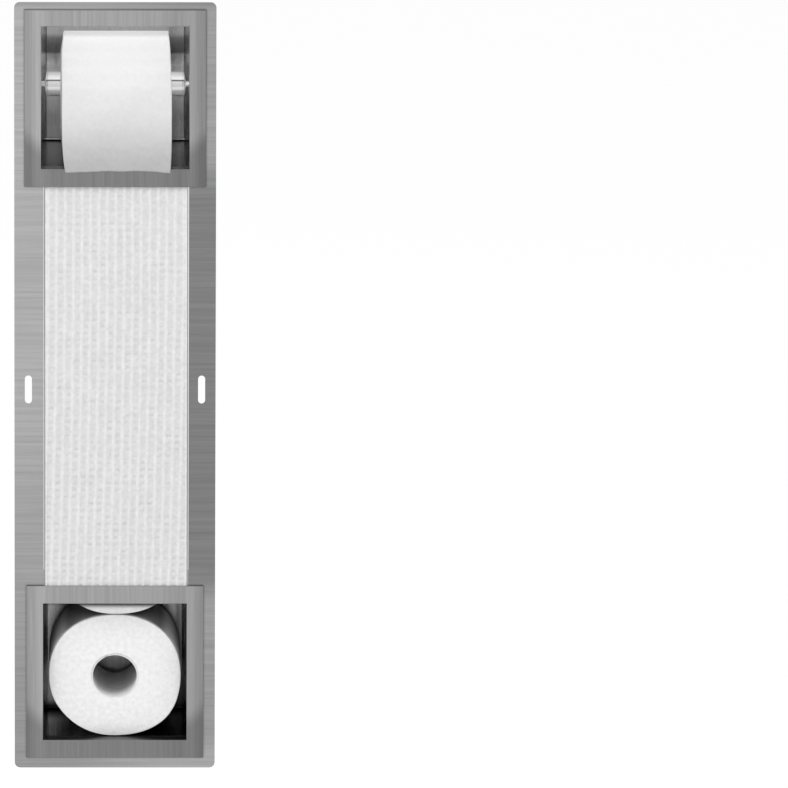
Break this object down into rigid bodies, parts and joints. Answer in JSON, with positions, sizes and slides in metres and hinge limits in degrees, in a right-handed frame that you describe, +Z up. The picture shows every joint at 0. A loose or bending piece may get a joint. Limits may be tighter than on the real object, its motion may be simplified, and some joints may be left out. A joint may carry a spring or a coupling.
{
  "type": "recessed toilet roll holder",
  "caption": "Recessed brushed steel toilet roll holder: a roll on a sprung spindle in the upper box, a tileable panel, and a shaft of spare rolls over a lower window.",
  "frame": {"origin": "on the flange's back face, in the middle of its bottom strip, where the flange bears on the wall", "axes": "+X to the viewer's right as the unit is faced, +Y into the wall, +Z up"},
  "size_m": [0.18, 0.149, 0.7],
  "materials": {
    "flange_steel": "fine horizontal brushing, satin",
    "frame_steel": "fine vertical brushing, satin, sharp folded edges",
    "box_steel": "fine vertical brushing, satin",
    "shaft_steel": "plain mill-finished sheet",
    "tray_steel": "thin satin sheet",
    "panel_backer": "matte white ribbed backer with a fine woven texture",
    "spindle_chrome": "smooth polished turned metal",
    "spring_steel": "plain drawn wire and stamped washer",
    "cup_plastic": "moulded white plastic",
    "tissue_in_use": "soft matte tissue, fine crepe",
    "tissue_spare": "soft matte tissue, faint ply edges on its faces",
    "core_card": "thin grey board with a spiral seam"
  },
  "bodies": {
    "holder": {"wall_flange": "flange_steel", "panel_tray": "tray_steel", "centre_panel": "panel_backer", "upper_box_wrap": "box_steel", "upper_cheek_left": "box_steel", "upper_cheek_right": "box_steel", "spindle_cup_left": "cup_plastic", "spindle_cup_right": "cup_plastic", "lower_box_wrap": "box_steel", "lower_cheek_left": "box_steel", "lower_cheek_right": "box_steel", "shaft_shoulder": "shaft_steel", "shaft_channel": "shaft_steel", "spare_roll_2_paper": "tissue_spare", "spare_roll_2_core": "core_card", "spare_roll_3_paper": "tissue_spare", "spare_roll_3_core": "core_card", "spare_roll_4_paper": "tissue_spare", "spare_roll_4_core": "core_card"},
    "upper_frame": {"upper_trim_frame": "frame_steel", "paper_tail": "tissue_in_use"},
    "lower_frame": {"lower_trim_frame": "frame_steel"},
    "spindle": {"spindle_barrel": "spindle_chrome", "spindle_cap_left": "spindle_chrome", "spindle_cap_right": "spindle_chrome", "spindle_spring": "spring_steel", "spindle_spring_seat": "spring_steel"},
    "plunger": {"spindle_plunger": "spindle_chrome"},
    "roll_in_use": {"roll_in_use_paper": "tissue_in_use", "roll_in_use_core": "core_card"},
    "spare_roll_1": {"spare_roll_1_paper": "tissue_spare", "spare_roll_1_core": "core_card"}
  },
  "joints": [
    {"name": "upper_frame_slide", "type": "slide", "parent": "holder", "child": "upper_frame", "axis": [0, -1, 0], "range_m": [0, 0.01]},
    {"name": "lower_frame_slide", "type": "slide", "parent": "holder", "child": "lower_frame", "axis": [0, -1, 0], "range_m": [0, 0.01]},
    {"name": "spindle_spin", "type": "hinge", "parent": "holder", "child": "spindle", "pos_m": [0, 0.0648, 0.6019], "axis": [1, 0, 0], "continuous": true},
    {"name": "plunger_slide", "type": "slide", "parent": "spindle", "child": "plunger", "axis": [-1, 0, 0], "range_m": [0, 0.008], "stiffness_N_per_m": 600, "springref_m": -0.015, "deforming": ["spindle_spring"]},
    {"name": "roll_spin", "type": "hinge", "parent": "holder", "child": "roll_in_use", "pos_m": [0, 0.0648, 0.5932], "axis": [1, 0, 0], "continuous": true},
    {"name": "spare_roll_1_slide", "type": "slide", "parent": "holder", "child": "spare_roll_1", "axis": [0, -1, 0], "range_m": [0, 0.13]}
  ]
}
